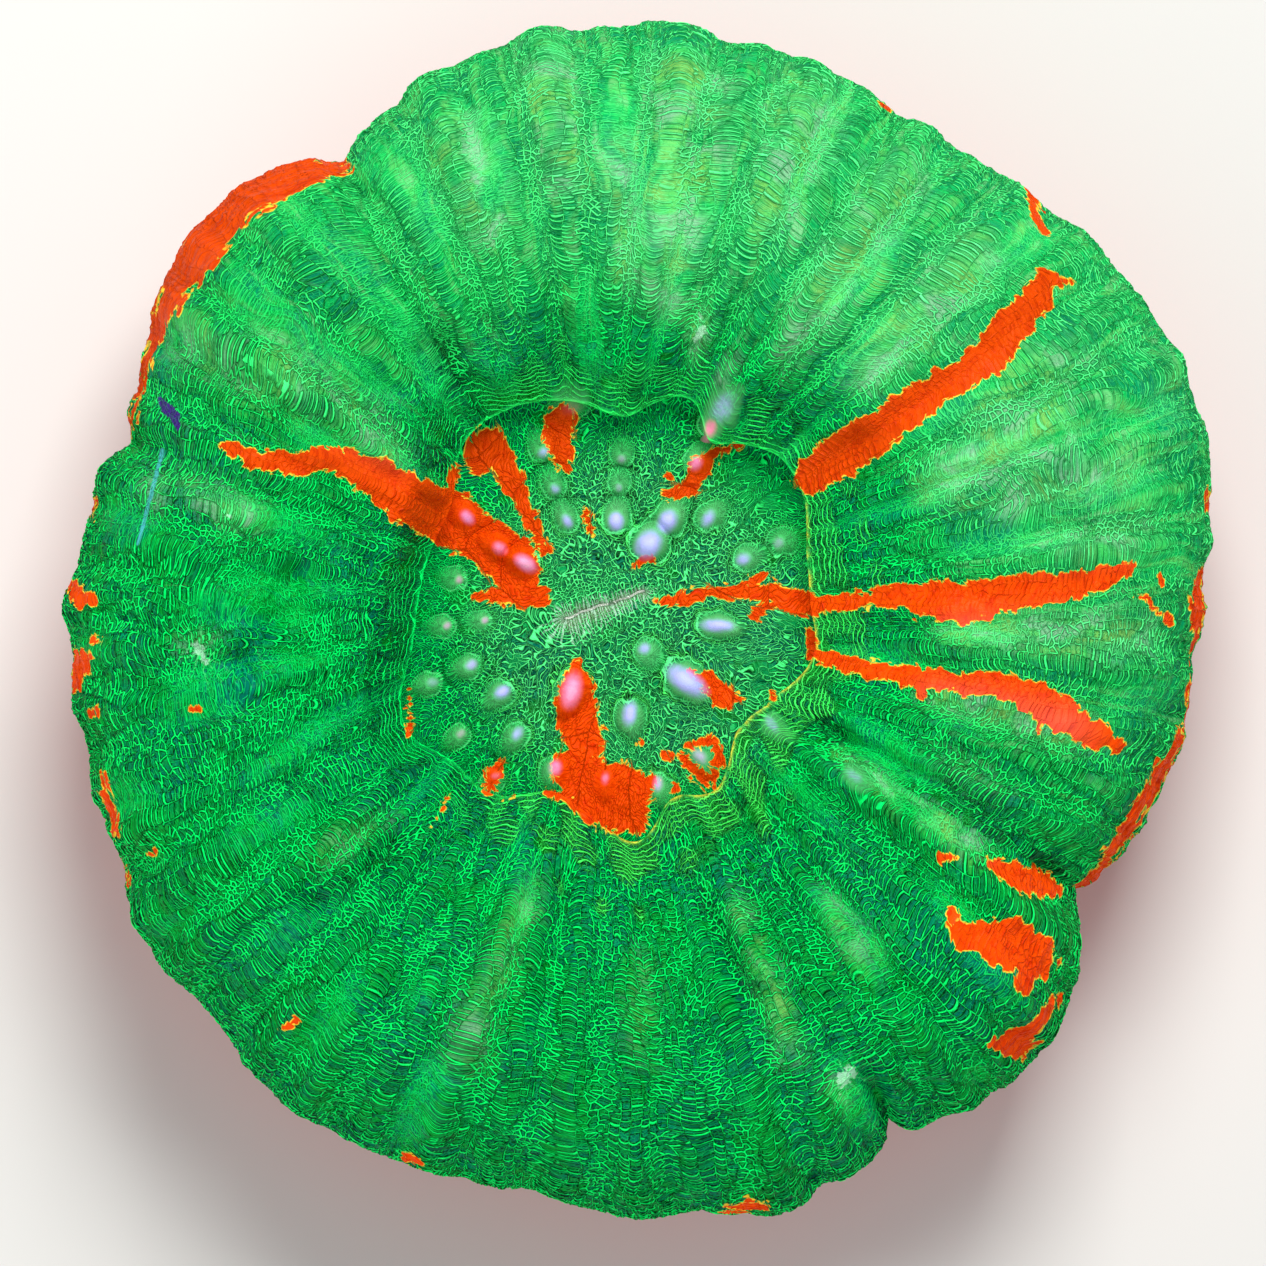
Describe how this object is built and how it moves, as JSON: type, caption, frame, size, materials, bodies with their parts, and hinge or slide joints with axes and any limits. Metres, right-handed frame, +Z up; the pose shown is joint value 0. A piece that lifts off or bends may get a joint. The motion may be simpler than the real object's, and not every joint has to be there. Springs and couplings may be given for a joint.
{
  "type": "scolymia coral",
  "caption": "Round fleshy coral polyp with radiating wrinkled folds, a sunken toothed disc around a slit mouth, and a short ribbed foot cut flat to stand on.",
  "frame": {"origin": "centre of the coral's outline, on the flat cut it stands on", "axes": "+Z up, out of the mouth; +X and +Y across the coral, with its widest lobes along Y"},
  "size_m": [0.0846, 0.088, 0.0318],
  "materials": {
    "coral": "moist wrinkled flesh, bright green over teal with orange-red patches edged in yellow; bare stony foot"
  },
  "bodies": {
    "root": {"scolymia_coral": "coral"}
  },
  "joints": []
}
